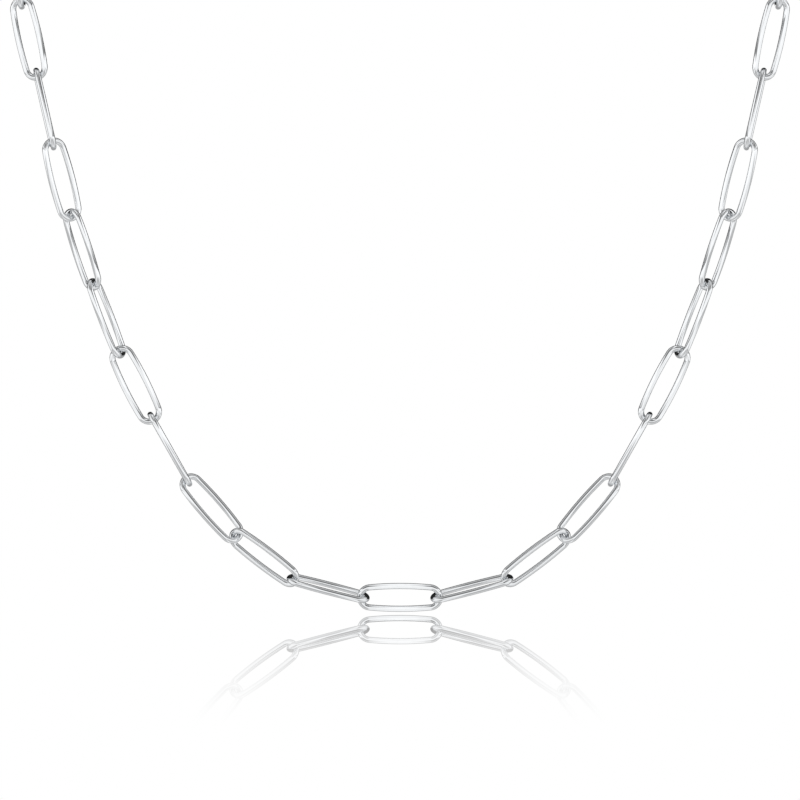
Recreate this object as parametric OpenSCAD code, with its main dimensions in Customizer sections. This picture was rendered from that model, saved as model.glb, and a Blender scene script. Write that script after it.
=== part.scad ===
// Paperclip chain necklace: long oval links of round polished wire, closed at the nape
// by a lobster clasp between two jump rings. Millimetres, +Z up, +X to the right,
// -Y to the front. The origin is the centre of the arc that lies round the neck.

/* [Link] */
// Outside length of a link
link_l = 12.6; // [11.6:0.1:14]
// Outside width of a link
link_w = 4.3; // [4.2:0.1:4.6]
// Diameter of the link's round wire
wire_d = 0.9; // [0.8:0.05:0.95]
// Play between two pieces that hang in each other
play = 0.1; // [0.1:0.02:0.16]

/* [Drape] */
// How much further in the neck arc lies than the top of the front stretch
neck_in = 2.5; // [1:0.5:4]
// Rise of the neck arc towards the nape, in degrees
nape_tilt = 10; // [0:1:20]
// Rise of the link that leads into the neck arc, in degrees
lead_rise = 26; // [20:1:32]
// Roll of the links round the neck, to one side and the other in turn
neck_roll = 45; // [42:1:48]

/* [Jump rings] */
// Outside diameter of a jump ring
ring_d = 4.6; // [4.4:0.1:5.4]
// Diameter of a jump ring's wire
ring_wire = 0.8; // [0.7:0.05:0.9]

/* [Clasp] */
// Length of the clasp over its eye and its hook
clasp_l = 12.4; // [12:0.1:14]
// Radius of the hook's centre line
hook_r = 2.2; // [2:0.1:2.4]
// Diameter of the hook's wire
hook_wire = 1.2; // [1.1:0.05:1.3]
// Diameter of the slimmer gate arm that closes the hook
gate_wire = 0.9; // [0.8:0.05:1]
// Radius of the eye's centre line
eye_r = 1.1; // [1.05:0.05:1.2]
// Diameter of the eye's wire
eye_wire = 0.7; // [0.6:0.05:0.75]
// Greatest diameter of the turned body between eye and hook
body_d = 2.6; // [2.4:0.1:2.8]

/* [Hidden] */
$fn = 48;

// Columns of the two tables below, in degrees: a link's lean above level, its roll about
// its own length, which brings its inner wire to the front, and its heading from +X to +Y
lean = 0;
roll = 1;
heading = 2;

// The middle link lies level
mid_roll = 8;

// Front stretch: the links from beside the middle up to the top of the drop. A few of them
// stand a little out of the front plane
front = [
    [14.5, -74, 0],
    [36, 32, 12],
    [49, -31, 0],
    [60.5, 93, -8],
    [63.5, 10, 0],
    [69, -66, 0],
    [72, 47, 0],
    [75, -7, -23],
    [75.5, 59, 24],
    [77.5, 20, 0],
];

// Shoulder: the links that turn from the front plane back to the neck
shoulder = [
    [72, 25, 70],
    [58, -62, 92],
    [42, 35, 100],
];
lead_roll = -50;

// The links of one side: front, shoulder, the one that leads in, and the neck arc
hanging = concat(front, shoulder);
lead = len(hanging) + 1;
arc_links = 6;
side_links = lead + arc_links;

pitch = link_l - 2 * wire_d - play;
ring_pitch = ring_d - 2 * ring_wire - play;
clasp_pitch = clasp_l - eye_wire - hook_wire - play;
half_closure = clasp_pitch / 2 + ring_pitch;

// A unit vector from its rise and its heading
function way(rise, head) = [cos(rise) * cos(head), cos(rise) * sin(head), sin(rise)];

// Where hanging link i starts, from the middle of the lowest link
function reach(i) =
    i == 1 ? [pitch / 2, 0, 0]
    : reach(i - 1) + pitch * way(hanging[i - 2][lean], hanging[i - 2][heading]);

// The neck arc: a circle about the origin whose plane rises to the nape, where its angle is 0
neck_r = reach(len(front) + 1)[0] - neck_in;
arc_step = 2 * asin(pitch / (2 * neck_r));
arc_end = asin(half_closure / neck_r);
function on_arc(a) =
    neck_r * [sin(a), cos(a) * cos(nape_tilt), cos(a) * sin(nape_tilt)];
function arc_point(i) = on_arc(arc_end + (side_links + 1 - i) * arc_step);

// The lead-in link heads sideways by what is left between the shoulder and the arc
side_step = (arc_point(lead + 1) - reach(lead))[0] / pitch;
lead_way = way(lead_rise, acos(side_step / cos(lead_rise)));
drop = arc_point(lead + 1) - pitch * lead_way - reach(lead);

// Where link i starts, and its roll
function start_of(i) = i <= lead ? drop + reach(i) : arc_point(i);
function roll_of(i) =
    i < lead ? hanging[i - 1][roll]
    : i == lead ? lead_roll
    : i % 2 == 0 ? -neck_roll : neck_roll;

// Names with two digits, such as link_r07
function number(i) = i < 10 ? str("0", i) : str(i);
right_names = [for (i = [1:side_links]) str("link_r", number(i))];
left_names = [for (i = [1:side_links]) str("link_l", number(i))];

// Part of a round wire bent to radius r, from angle a through turn degrees
module bend(r, wire, a, turn) {
    rotate([0, 0, a])
        rotate_extrude(angle = turn)
            translate([r, 0])
                circle(d = wire);
}

// A link in the XZ plane, from junction to junction along +X: two round ends and two
// straight sides
module link() {
    side_y = (link_w - wire_d) / 2;
    side_l = link_l - link_w;
    translate([pitch / 2, 0, 0])
        rotate([90, 0, 0])
            for (turn = [0, 180]) rotate([0, 0, turn]) {
                translate([side_l / 2, 0, 0])
                    bend(side_y, wire_d, -90, 180);
                translate([-side_l / 2, side_y, 0]) rotate([0, 90, 0])
                    cylinder(d = wire_d, h = side_l);
            }
}

// Stands what lies along +X at a point, along the way to another, with its roll
module between(a, b, turn) {
    run = b - a;
    translate(a)
        rotate([0, -asin(run[2] / norm(run)), atan2(run[1], run[0])])
            rotate([turn, 0, 0])
                children();
}

module right_link(i) {
    color("silver")
        between(start_of(i), start_of(i + 1), roll_of(i))
            link();
}

module left_link(i) {
    mirror([1, 0, 0]) right_link(i);
}

module link_mid() {
    color("silver")
        between(drop - [pitch / 2, 0, 0], drop + [pitch / 2, 0, 0], mid_roll)
            link();
}

// The closure at the nape, straight across from one side to the other
nape = on_arc(arc_end);

module clasp_ring_r() {
    color("silver")
        between(nape - [ring_pitch, 0, 0], nape, -neck_roll)
            translate([ring_pitch / 2, 0, 0])
                rotate([90, 0, 0])
                    bend((ring_d - ring_wire) / 2, ring_wire, 0, 360);
}

module clasp_ring_l() {
    mirror([1, 0, 0]) clasp_ring_r();
}

// The clasp in the XZ plane, its eye at the start and its hook at the end. The hook's arms
// run together at a taper, inside a turned body that reaches back to the eye
module clasp_form() {
    taper = 30;
    arm_l = hook_r / tan(taper);
    eye_x = eye_r - (eye_wire + play) / 2;
    hook_x = clasp_pitch + (hook_wire + play) / 2 - hook_r;
    body_x = eye_x + eye_r;
    body_l = hook_x - hook_r / sin(taper) + 1 - body_x;
    rotate([90, 0, 0]) {
        translate([eye_x, 0, 0]) bend(eye_r, eye_wire, 0, 360);
        translate([hook_x, 0, 0]) {
            bend(hook_r, hook_wire, -90 - taper, 180 + 2 * taper);
            rotate([0, 0, 90 + taper]) translate([hook_r, 0, 0])
                rotate([-90, 0, 0]) cylinder(d = gate_wire, h = arm_l);
            rotate([0, 0, -90 - taper]) translate([hook_r, 0, 0])
                rotate([90, 0, 0]) cylinder(d = hook_wire, h = arm_l);
        }
    }
    translate([body_x, 0, 0]) rotate([0, 90, 0]) rotate_extrude()
        polygon([[0, 0], [eye_wire / 2, 0], [body_d / 2, body_l * 0.5],
            [body_d / 2, body_l * 0.8], [body_d / 2 * 0.7, body_l], [0, body_l]]);
}

module clasp() {
    color("silver")
        between(nape - [ring_pitch + clasp_pitch, 0, 0], nape - [ring_pitch, 0, 0], neck_roll)
            clasp_form();
}

link_mid();
for (i = [1:side_links]) {
    right_link(i);
    left_link(i);
}
clasp_ring_r();
clasp_ring_l();
clasp();
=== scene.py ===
import math

import bpy
import numpy as np
from mathutils import Matrix, Vector


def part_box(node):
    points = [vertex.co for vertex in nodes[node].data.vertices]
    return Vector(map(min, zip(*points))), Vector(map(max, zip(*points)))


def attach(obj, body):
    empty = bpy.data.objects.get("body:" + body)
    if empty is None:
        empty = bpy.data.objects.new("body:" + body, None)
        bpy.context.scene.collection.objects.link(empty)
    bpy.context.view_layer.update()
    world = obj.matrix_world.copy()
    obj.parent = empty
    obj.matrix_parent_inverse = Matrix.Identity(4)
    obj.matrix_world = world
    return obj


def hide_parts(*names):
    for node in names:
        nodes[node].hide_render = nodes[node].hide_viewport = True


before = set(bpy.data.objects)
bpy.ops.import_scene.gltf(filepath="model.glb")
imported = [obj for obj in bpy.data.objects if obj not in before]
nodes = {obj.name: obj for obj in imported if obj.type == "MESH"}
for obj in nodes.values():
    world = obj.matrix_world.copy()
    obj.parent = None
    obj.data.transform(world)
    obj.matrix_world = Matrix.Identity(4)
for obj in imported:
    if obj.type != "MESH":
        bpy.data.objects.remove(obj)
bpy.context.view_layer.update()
print("frame loaded:", len(nodes), "nodes")

# lengths below are in millimetres and angles in degrees, and mm turns a length into metres
mm = 0.001
mergeGap = 0.001 * mm


def pickOnly(piece):
    bpy.ops.object.select_all(action="DESELECT")
    piece.select_set(True)
    bpy.context.view_layer.objects.active = piece


def openForEditing(piece):
    pickOnly(piece)
    bpy.ops.object.transform_apply(location=True, rotation=True, scale=True)
    bpy.ops.object.mode_set(mode="EDIT")
    bpy.ops.mesh.select_mode(type="VERT")
    bpy.ops.mesh.select_all(action="SELECT")


def closeEditing():
    bpy.ops.mesh.select_all(action="SELECT")
    bpy.ops.mesh.remove_doubles(threshold=mergeGap)
    bpy.ops.mesh.normals_make_consistent(inside=False)
    bpy.ops.object.mode_set(mode="OBJECT")
    bpy.ops.object.shade_smooth()


# A wire starts as a round section that faces along X, at a height above the origin
def startWire(name, wire, sides, height):
    bpy.ops.mesh.primitive_circle_add(
        vertices=sides, radius=wire / 2 * mm, fill_type="NOTHING",
        location=(0, 0, height * mm), rotation=(0, math.pi / 2, 0))
    piece = bpy.context.object
    piece.name = name
    piece.data.name = name
    openForEditing(piece)
    return piece


def bendWire(steps, angle, x, z):
    # from the top towards +X
    bpy.ops.mesh.spin(steps=steps, angle=-angle, center=(x * mm, 0, z * mm), axis=(0, 1, 0))


# The long link, bent from one length of round wire: full ends and slightly bowed sides.
# Its length and its width are measured along the middle of the wire
longLink = {
    "length": 11.7,
    "width": 3.4,
    "endRadius": 1.5,
    "wire": 0.9,
    "wireSides": 28,
    "endSteps": 26,
    "sideSteps": 4,
}


def bendLongLink():
    link = longLink
    endX = link["length"] / 2 - link["endRadius"]
    halfWidth = link["width"] / 2
    sideRise = halfWidth - link["endRadius"]
    # the side's bow runs into the end's bend without a corner
    bowRadius = (endX ** 2 + sideRise ** 2) / (2 * sideRise) + link["endRadius"]
    bowZ = bowRadius - halfWidth
    bowAngle = math.atan2(endX, bowZ)
    endAngle = math.pi - 2 * bowAngle
    piece = startWire("longLink", link["wire"], link["wireSides"], halfWidth)
    bendWire(link["sideSteps"], bowAngle, 0, -bowZ)
    bendWire(link["endSteps"], endAngle, endX, 0)
    bendWire(2 * link["sideSteps"], 2 * bowAngle, 0, bowZ)
    bendWire(link["endSteps"], endAngle, -endX, 0)
    bendWire(link["sideSteps"], bowAngle, 0, -bowZ)
    closeEditing()
    return piece


# A jump ring is round wire too, cut once: its two flat ends stand a hair apart
jumpRing = {
    "width": 4.6,
    "wire": 0.8,
    "wireSides": 24,
    "steps": 72,
    "cut": 0.03,
    "sharpFrom": 40,
}


def bendJumpRing():
    ring = jumpRing
    radius = (ring["width"] - ring["wire"]) / 2
    cutAngle = ring["cut"] / radius
    piece = startWire("jumpRing", ring["wire"], ring["wireSides"], radius)
    bendWire(ring["steps"], math.tau - cutAngle, 0, 0)
    # each cut end gets a flat face
    bpy.ops.mesh.select_all(action="SELECT")
    bpy.ops.mesh.region_to_loop()
    bpy.ops.mesh.edge_face_add()
    closeEditing()
    bpy.ops.object.shade_smooth_by_angle(angle=math.radians(ring["sharpFrom"]))
    return piece


# How a node stands: its middle, the way of its length and the way of its width
def nodeStand(node):
    mesh = node.data
    mesh.calc_loop_triangles()
    points = np.empty(len(mesh.vertices) * 3)
    mesh.vertices.foreach_get("co", points)
    points = points.reshape(-1, 3)
    corners = np.empty(len(mesh.loop_triangles) * 3, dtype=np.int32)
    mesh.loop_triangles.foreach_get("vertices", corners)
    faces = points[corners.reshape(-1, 3)]
    area = np.linalg.norm(np.cross(faces[:, 1] - faces[:, 0], faces[:, 2] - faces[:, 0]), axis=1)
    centre = (faces.mean(axis=1) * area[:, None]).sum(axis=0) / area.sum()
    away = faces - centre
    total = away.sum(axis=1)
    spread = np.einsum("t,ti,tj->ij", area, total, total)
    spread += np.einsum("t,tki,tkj->ij", area, away, away)
    axes = np.linalg.eigh(spread)[1]
    along = Vector(axes[:, 2])
    across = Vector(axes[:, 1])
    if along.x < 0:
        along = -along
    if across.z < 0:
        across = -across
    return Vector(centre), along, across


# Puts a finished piece there, its X along the length and its Z across it
def standPiece(piece, centre, along, across, scale=1.0):
    side = across.cross(along)
    turn = Matrix((along, side, across)).transposed().to_4x4()
    piece.matrix_world = Matrix.Translation(centre) @ turn @ Matrix.Scale(scale, 4)
    pickOnly(piece)
    bpy.ops.object.transform_apply(location=True, rotation=True, scale=True)


def copyOf(pattern, name):
    pickOnly(pattern)
    bpy.ops.object.duplicate()
    piece = bpy.context.object
    piece.name = name
    piece.data.name = name
    return piece


# The clasp is cast in one, and tumbled: eye, turned body, hook and slimmer gate arm.
# It is modelled a thousand times up, so that a millimetre is a metre, and then scaled down
claspForm = {
    "length": 12.4,
    "play": 0.1,
    "eyeRadius": 1.1,
    "eyeWire": 0.7,
    "eyeSteps": 64,
    "hookRadius": 2.2,
    "hookWire": 1.2,
    "hookSteps": 60,
    "gateWire": 0.9,
    "wireSides": 32,
    "taper": 30,
    "bodyWidth": 2.6,
    "bodyRoot": 1,
    # the body's radius from the eye on, in shares of its length and of its width
    "bodyProfile": ((0.25, 0.3), (0.5, 0.5), (0.8, 0.5), (1, 0.35)),
    # the lengths of the gate's groove, and how its wire narrows and widens again
    "groove": ((0.1, 1), (0.05, 0.84), (0.1, 1), (0.05, 1 / 0.84)),
    "neckRoll": 45,
    "castGrain": 0.055,
    "tumbleShare": 0.5,
    "tumbling": 8,
}


def addRound(wire, place, turn=(0, math.pi / 2, 0)):
    bpy.ops.mesh.primitive_circle_add(
        vertices=claspForm["wireSides"], radius=wire / 2, fill_type="NGON",
        location=place, rotation=turn)
    piece = bpy.context.object
    openForEditing(piece)
    return piece


def pushRound(step, size=1, place=(0, 0, 0)):
    # one more length of the round, in line, its end face scaled about a place
    bpy.ops.mesh.extrude_region_move(TRANSFORM_OT_translate={"value": step})
    if size != 1:
        bpy.ops.transform.resize(value=(size, size, size), center_override=place)


def castClasp():
    form = claspForm
    taper = math.radians(form["taper"])
    eyeX = form["eyeRadius"] - (form["eyeWire"] + form["play"]) / 2
    pitch = form["length"] - form["eyeWire"] - form["hookWire"] - form["play"]
    hookX = pitch + (form["hookWire"] + form["play"]) / 2 - form["hookRadius"]
    apexX = hookX - form["hookRadius"] / math.sin(taper)
    armLength = form["hookRadius"] / math.tan(taper)
    bodyStart = eyeX + form["eyeRadius"]
    bodyLength = apexX + form["bodyRoot"] - bodyStart

    # eye: a round of wire, spun all the way
    eye = addRound(form["eyeWire"], (eyeX, 0, form["eyeRadius"]))
    bpy.ops.mesh.delete(type="ONLY_FACE")
    bpy.ops.mesh.select_all(action="SELECT")
    bpy.ops.mesh.spin(
        steps=form["eyeSteps"], angle=math.tau, center=(eyeX, 0, 0), axis=(0, 1, 0))
    closeEditing()
    parts = [eye]

    # hook: from the foot of the lower arm, round the bend
    hookSweep = math.pi + 2 * taper
    hook = addRound(form["hookWire"], (hookX, 0, -form["hookRadius"]))
    bpy.ops.transform.rotate(value=-taper, orient_axis="Y", center_override=(hookX, 0, 0))
    bpy.ops.mesh.spin(
        steps=form["hookSteps"], angle=hookSweep, center=(hookX, 0, 0), axis=(0, 1, 0))
    closeEditing()
    parts.append(hook)

    # arms: straight from the bend's ends to where they meet in the body
    for wire, side in ((form["hookWire"], -1), (form["gateWire"], 1)):
        lean = math.pi / 2 + side * taper
        start = Vector((hookX - form["hookRadius"] * math.sin(taper), 0,
                        side * form["hookRadius"] * math.cos(taper)))
        way = Vector((-math.cos(taper), 0, -side * math.sin(taper)))
        arm = addRound(wire, start, (0, lean, 0))
        run = 0
        if side > 0:
            # a fine groove shows where the gate meets the hook's nose
            for step, size in form["groove"]:
                run += step
                pushRound(way * step, size, start + way * run)
        pushRound(way * (armLength - run))
        closeEditing()
        parts.append(arm)

    # body: turned, swelling from the eye to the root of the arms
    body = addRound(form["eyeWire"], (bodyStart, 0, 0))
    share, radius = 0, form["eyeWire"] / 2
    for nextShare, width in form["bodyProfile"]:
        nextRadius = width * form["bodyWidth"]
        step = (nextShare - share) * bodyLength
        pushRound((step, 0, 0), nextRadius / radius, (bodyStart + nextShare * bodyLength, 0, 0))
        share, radius = nextShare, nextRadius
    closeEditing()

    pickOnly(body)
    for part in parts:
        part.select_set(True)
    bpy.ops.object.join()
    clasp = bpy.context.object
    clasp.name = "lobsterClasp"
    clasp.data.name = "lobsterClasp"
    cast = clasp.modifiers.new("cast", "REMESH")
    cast.mode = "VOXEL"
    cast.voxel_size = form["castGrain"]
    bpy.ops.object.modifier_apply(modifier="cast")
    tumble = clasp.modifiers.new("tumble", "SMOOTH")
    tumble.factor = form["tumbleShare"]
    tumble.iterations = form["tumbling"]
    bpy.ops.object.modifier_apply(modifier="tumble")
    bpy.ops.object.shade_smooth()
    return clasp


# Silver: a bright polish, with the faint clouds and hairlines that handling leaves
polishedSilver = {
    "bright": (0.83, 0.845, 0.86, 1),
    "handled": (0.795, 0.81, 0.825, 1),
    "cloudScale": 0.9,
    "smooth": 0.03,
    "worn": 0.07,
    "hairScale": 6,
    "hairDepth": 0.01,
}

castSilver = {
    "bright": (0.84, 0.85, 0.865, 1),
    "handled": (0.76, 0.77, 0.785, 1),
    "cloudScale": 0.7,
    "smooth": 0.1,
    "worn": 0.2,
    "hairScale": 4,
    "hairDepth": 0.05,
}

# both finishes share these: how fine each pattern is, and between which of its values it turns
silverGrain = {
    "cloudDetail": 3,
    "cloudSpan": (0.35, 0.65),
    "wearDetail": 5,
    "hairDetail": 6,
    "hairSpan": (0.2, 0.8),
    "hairFineness": 1.7,
    "hairHeight": 0.01,
}


def grey(value):
    return (value, value, value, 1)


def addClouds(tree, where, scale, detail, span, low, high):
    clouds = tree.nodes.new("ShaderNodeTexNoise")
    clouds.inputs["Scale"].default_value = scale
    clouds.inputs["Detail"].default_value = detail
    tree.links.new(where, clouds.inputs["Vector"])
    ramp = tree.nodes.new("ShaderNodeValToRGB")
    for stop, position, colour in zip(ramp.color_ramp.elements, span, (low, high)):
        stop.position = position
        stop.color = colour
    tree.links.new(clouds.outputs["Fac"], ramp.inputs["Fac"])
    return ramp.outputs["Color"]


def makeSilver(name, look):
    grain = silverGrain
    finish = bpy.data.materials.new(name)
    finish.use_nodes = True
    tree = finish.node_tree
    shader = tree.nodes["Principled BSDF"]
    shader.inputs["Metallic"].default_value = 1
    place = tree.nodes.new("ShaderNodeTexCoord")
    inMillimetres = tree.nodes.new("ShaderNodeMapping")
    inMillimetres.inputs["Scale"].default_value = (1 / mm, 1 / mm, 1 / mm)
    tree.links.new(place.outputs["Object"], inMillimetres.inputs["Vector"])
    where = inMillimetres.outputs["Vector"]
    colour = addClouds(tree, where, look["cloudScale"], grain["cloudDetail"],
                       grain["cloudSpan"], look["handled"], look["bright"])
    tree.links.new(colour, shader.inputs["Base Color"])
    wear = addClouds(tree, where, look["hairScale"], grain["wearDetail"],
                     grain["cloudSpan"], grey(look["smooth"]), grey(look["worn"]))
    tree.links.new(wear, shader.inputs["Roughness"])
    hair = addClouds(tree, where, look["hairScale"] * grain["hairFineness"],
                     grain["hairDetail"], grain["hairSpan"], grey(0), grey(1))
    bump = tree.nodes.new("ShaderNodeBump")
    bump.inputs["Strength"].default_value = look["hairDepth"]
    bump.inputs["Distance"].default_value = grain["hairHeight"] * mm
    tree.links.new(hair, bump.inputs["Height"])
    tree.links.new(bump.outputs["Normal"], shader.inputs["Normal"])
    return finish


linkSilver = makeSilver("linkSilver", polishedSilver)
claspSilver = makeSilver("claspSilver", castSilver)
print("silver polished")


def finishPiece(piece, finish, nodeName):
    piece.data.materials.clear()
    piece.data.materials.append(finish)
    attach(piece, "root")
    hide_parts(nodeName)


linkPattern = bendLongLink()
linkNames = sorted(name for name in nodes if name.startswith("link_"))
for name in linkNames:
    piece = copyOf(linkPattern, "wire_" + name)
    standPiece(piece, *nodeStand(nodes[name]))
    finishPiece(piece, linkSilver, name)
bpy.data.objects.remove(linkPattern)
print("links hung:", len(linkNames))

ringPattern = bendJumpRing()
for name in ("clasp_ring_r", "clasp_ring_l"):
    piece = copyOf(ringPattern, "wire_" + name)
    standPiece(piece, *nodeStand(nodes[name]))
    finishPiece(piece, claspSilver, name)
bpy.data.objects.remove(ringPattern)
print("jump rings closed")

# the clasp lies along X from its eye, rolled like the links round the neck
clasp = castClasp()
claspLow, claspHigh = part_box("clasp")
claspMiddle = (claspLow + claspHigh) / 2
eyeReach = claspForm["eyeWire"] + claspForm["play"] / 2
claspStart = Vector((claspLow.x + eyeReach * mm, claspMiddle.y, claspMiddle.z))
claspRoll = math.radians(claspForm["neckRoll"])
claspAcross = Vector((0, -math.sin(claspRoll), math.cos(claspRoll)))
standPiece(clasp, claspStart, Vector((1, 0, 0)), claspAcross, mm)
finishPiece(clasp, claspSilver, "clasp")
print("clasp cast")

# Camera: level, at the height of the photo's middle, looking along +Y. The middle link lies
# lowestAxis pixels below that middle, and the floor mirrorLine pixels below the link
photoView = {
    "size": 800,
    "linkPitch": 10.7,
    "pitchPixels": 73.0,
    "lowestAxis": 197.4,
    "mirrorLine": 16.1,
    "distance": 600,
    "sensorWidth": 36,
    "nearest": 10,
    "furthest": 50000,
}
pixel = photoView["linkPitch"] / photoView["pitchPixels"] * mm
midLow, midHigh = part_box("link_mid")
midPlace = (midLow + midHigh) / 2
eyeHeight = midPlace.z + photoView["lowestAxis"] * pixel
floorHeight = midPlace.z - photoView["mirrorLine"] * pixel
distance = photoView["distance"] * mm

bpy.ops.object.camera_add(
    location=(0, midPlace.y - distance, eyeHeight), rotation=(math.pi / 2, 0, 0))
camera = bpy.context.object
camera.data.sensor_width = photoView["sensorWidth"]
camera.data.lens = photoView["sensorWidth"] * distance / (photoView["size"] * pixel)
camera.data.clip_start = photoView["nearest"] * mm
camera.data.clip_end = photoView["furthest"] * mm
bpy.context.scene.camera = camera
print("camera set, lens", round(camera.data.lens, 1))


def mathNode(tree, operation, first, second=None, clamp=False):
    node = tree.nodes.new("ShaderNodeMath")
    node.operation = operation
    node.use_clamp = clamp
    for socket, value in zip(node.inputs, (first, second)):
        if value is None:
            continue
        if isinstance(value, (int, float)):
            socket.default_value = value
        else:
            tree.links.new(value, socket)
    return node.outputs[0]


def distanceNode(tree, first, second):
    first = mathNode(tree, "MULTIPLY", first, first)
    second = mathNode(tree, "MULTIPLY", second, second)
    return mathNode(tree, "SQRT", mathNode(tree, "ADD", first, second))


def restOf(tree, share):
    return mathNode(tree, "SUBTRACT", 1.0, share)


# from 0 at start to 1 at end
def softStep(tree, value, start, end):
    step = tree.nodes.new("ShaderNodeMapRange")
    step.interpolation_type = "SMOOTHSTEP"
    step.inputs["From Min"].default_value = start
    step.inputs["From Max"].default_value = end
    tree.links.new(value, step.inputs["Value"])
    return step.outputs["Result"]


# up to 1 from start to full, and down again from ending to end
def band(tree, value, start, full, ending, end):
    rise = softStep(tree, value, start, full)
    fall = softStep(tree, value, ending, end)
    return mathNode(tree, "MULTIPLY", rise, restOf(tree, fall))


# Floor: a pale glossy sheet. The shine is strongest under the chain and fades all round it.
# fadeEnd is the height in the photo, in pixels, at which the mirror image has gone
floorLook = {
    "size": 2000,
    "glow": 1.0,
    "shine": 0.87,
    "shineFromAbove": 0.1,
    "shineStart": 50,
    "shineEnd": 130,
    "fadeEnd": 118,
    "fadePower": 2.0,
    "grazingStart": 0.62,
    "grazingEnd": 0.9,
}
bpy.ops.mesh.primitive_plane_add(size=floorLook["size"] * mm, location=(0, 0, floorHeight))
floor = bpy.context.object
floor.name = "glossyFloor"
pickOnly(floor)
bpy.ops.object.transform_apply(location=True, rotation=True, scale=True)
# the silver mirrors the tent below the horizon in its place
floor.visible_glossy = False


def makeFloorFinish():
    look = floorLook
    finish = bpy.data.materials.new("glossyWhite")
    finish.use_nodes = True
    tree = finish.node_tree
    tree.nodes.clear()
    place = tree.nodes.new("ShaderNodeTexCoord")
    parts = tree.nodes.new("ShaderNodeSeparateXYZ")
    tree.links.new(place.outputs["Object"], parts.inputs["Vector"])
    # how far in front of the chain a spot lies tells which height it mirrors from the front
    ahead = mathNode(tree, "SUBTRACT", midPlace.y, parts.outputs["Y"])
    ahead = mathNode(tree, "MAXIMUM", ahead, 0.0)
    left = mathNode(tree, "SUBTRACT", distance, ahead)
    left = mathNode(tree, "MAXIMUM", left, mm)
    height = mathNode(tree, "MULTIPLY", ahead, eyeHeight - floorHeight)
    height = mathNode(tree, "DIVIDE", height, left)
    share = mathNode(tree, "DIVIDE", height, look["fadeEnd"] * pixel)
    share = mathNode(tree, "SUBTRACT", 1.0, share, clamp=True)
    share = mathNode(tree, "POWER", share, look["fadePower"])
    # to the sides and the back the shine ends before the sheet does
    behind = mathNode(tree, "SUBTRACT", parts.outputs["Y"], midPlace.y)
    behind = mathNode(tree, "MAXIMUM", behind, 0.0)
    away = distanceNode(tree, parts.outputs["X"], behind)
    beyond = softStep(tree, away, look["shineStart"] * mm, look["shineEnd"] * mm)
    share = mathNode(tree, "MULTIPLY", share, restOf(tree, beyond))
    # a gloss like this one is weak from above
    facing = tree.nodes.new("ShaderNodeLayerWeight")
    facing.inputs["Blend"].default_value = 0.5
    grazing = softStep(tree, facing.outputs["Facing"], look["grazingStart"], look["grazingEnd"])
    grazing = mathNode(tree, "MULTIPLY", grazing, 1 - look["shineFromAbove"])
    grazing = mathNode(tree, "ADD", grazing, look["shineFromAbove"])
    share = mathNode(tree, "MULTIPLY", share, grazing)
    share = mathNode(tree, "MULTIPLY", share, look["shine"])
    glow = tree.nodes.new("ShaderNodeEmission")
    glow.inputs["Color"].default_value = grey(1)
    glow.inputs["Strength"].default_value = look["glow"]
    mirror = tree.nodes.new("ShaderNodeBsdfGlossy")
    mirror.inputs["Roughness"].default_value = 0.0
    mirror.inputs["Color"].default_value = grey(1)
    mix = tree.nodes.new("ShaderNodeMixShader")
    tree.links.new(share, mix.inputs[0])
    tree.links.new(glow.outputs[0], mix.inputs[1])
    tree.links.new(mirror.outputs[0], mix.inputs[2])
    output = tree.nodes.new("ShaderNodeOutputMaterial")
    tree.links.new(mix.outputs[0], output.inputs["Surface"])
    return finish


floor.data.materials.append(makeFloorFinish())
print("floor laid")

# Light: a white tent with a grey roof, a grey panel along each side and a black surround
# behind the chain, round a white backdrop. Each span says where a shade starts, is full, starts
# to end and ends: along +Y, or by its steepness, the height over the distance from the tent's
# middle line
tent = {
    "white": 1.22,
    "backdrop": 1.0,
    "backdropEdge": (0.94, 0.95),
    "ringDark": 0.98,
    "ringAlong": (0.29, 0.33, 0.94, 0.95),
    "roofDark": 0.92,
    "roofSteepness": (0.53, 0.60, 0.98, 1.005),
    "roofAlong": (-1.0, -0.9, -1.2, 1.3),
    "panelDark": 0.8,
    "panelSteepness": (0.226, 0.246, 0.246, 0.455),
    "panelAlong": (-1.0, -0.9, 0.23, 0.33),
    "floorPaleness": 0.4,
    "horizon": 0.01,
    "leastDistance": 0.0001,
    "pastChain": 1.0,
}


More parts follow.
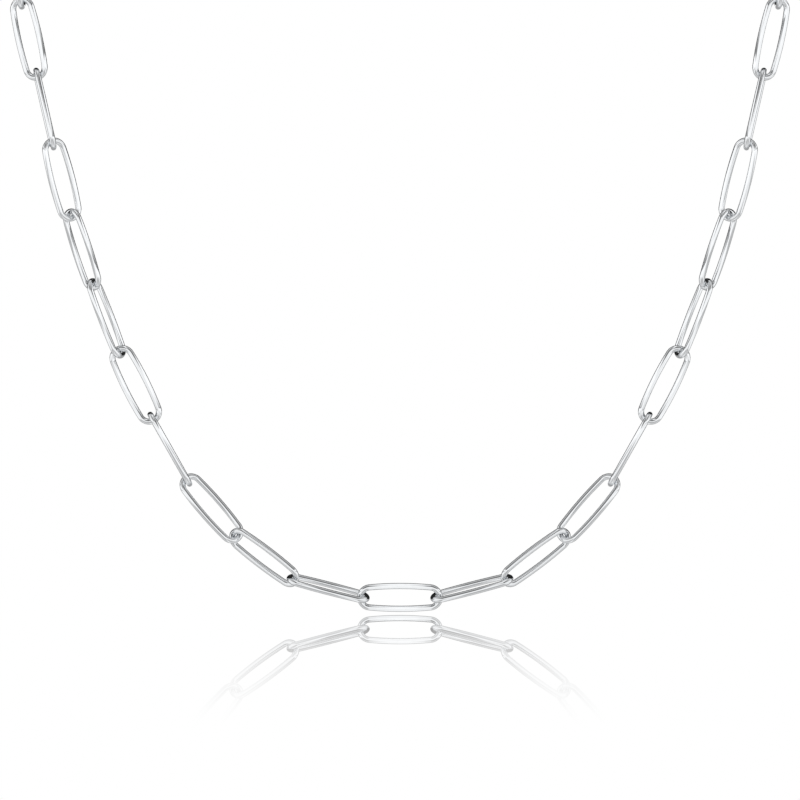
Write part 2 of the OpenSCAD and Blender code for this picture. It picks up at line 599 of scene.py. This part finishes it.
def lightTent():
    world = bpy.data.worlds.new("lightTent")
    bpy.context.scene.world = world
    world.use_nodes = True
    tree = world.node_tree
    tree.nodes.clear()
    place = tree.nodes.new("ShaderNodeTexCoord")
    parts = tree.nodes.new("ShaderNodeSeparateXYZ")
    tree.links.new(place.outputs["Generated"], parts.inputs["Vector"])
    x, y, z = (parts.outputs[k] for k in "XYZ")
    around = mathNode(tree, "MAXIMUM", distanceNode(tree, x, z), tent["leastDistance"])
    steepness = mathNode(tree, "ABSOLUTE", mathNode(tree, "DIVIDE", z, around))
    ring = band(tree, y, *tent["ringAlong"])
    roof = band(tree, steepness, *tent["roofSteepness"])
    roof = mathNode(tree, "MULTIPLY", roof, band(tree, y, *tent["roofAlong"]))
    panel = band(tree, steepness, *tent["panelSteepness"])
    panel = mathNode(tree, "MULTIPLY", panel, band(tree, y, *tent["panelAlong"]))
    level = tent["white"]
    for shade, dark in ((ring, "ringDark"), (roof, "roofDark"), (panel, "panelDark")):
        light = restOf(tree, mathNode(tree, "MULTIPLY", shade, tent[dark]))
        level = mathNode(tree, "MULTIPLY", light, level)
    # below the horizon the same tent shows paler, as in a glossy floor
    depth = mathNode(tree, "MULTIPLY", z, -1.0)
    below = softStep(tree, depth, -tent["horizon"], tent["horizon"])
    paler = mathNode(tree, "MULTIPLY", below, tent["floorPaleness"])
    level = mathNode(tree, "MULTIPLY", level, restOf(tree, paler))
    level = mathNode(tree, "ADD", level, paler)
    backdrop = softStep(tree, y, *tent["backdropEdge"])
    level = mathNode(tree, "MULTIPLY", level, restOf(tree, backdrop))
    backdrop = mathNode(tree, "MULTIPLY", backdrop, tent["backdrop"])
    level = mathNode(tree, "ADD", level, backdrop)
    studio = tree.nodes.new("ShaderNodeBackground")
    studio.inputs["Color"].default_value = grey(1)
    tree.links.new(level, studio.inputs["Strength"])
    # what shows past the chain is plain white
    plain = tree.nodes.new("ShaderNodeBackground")
    plain.inputs["Color"].default_value = grey(1)
    plain.inputs["Strength"].default_value = tent["pastChain"]
    seen = tree.nodes.new("ShaderNodeLightPath")
    mix = tree.nodes.new("ShaderNodeMixShader")
    tree.links.new(seen.outputs["Is Camera Ray"], mix.inputs[0])
    tree.links.new(studio.outputs[0], mix.inputs[1])
    tree.links.new(plain.outputs[0], mix.inputs[2])
    output = tree.nodes.new("ShaderNodeOutputWorld")
    tree.links.new(mix.outputs[0], output.inputs["Surface"])


lightTent()
bpy.context.scene.view_settings.view_transform = "Standard"
print("light set")
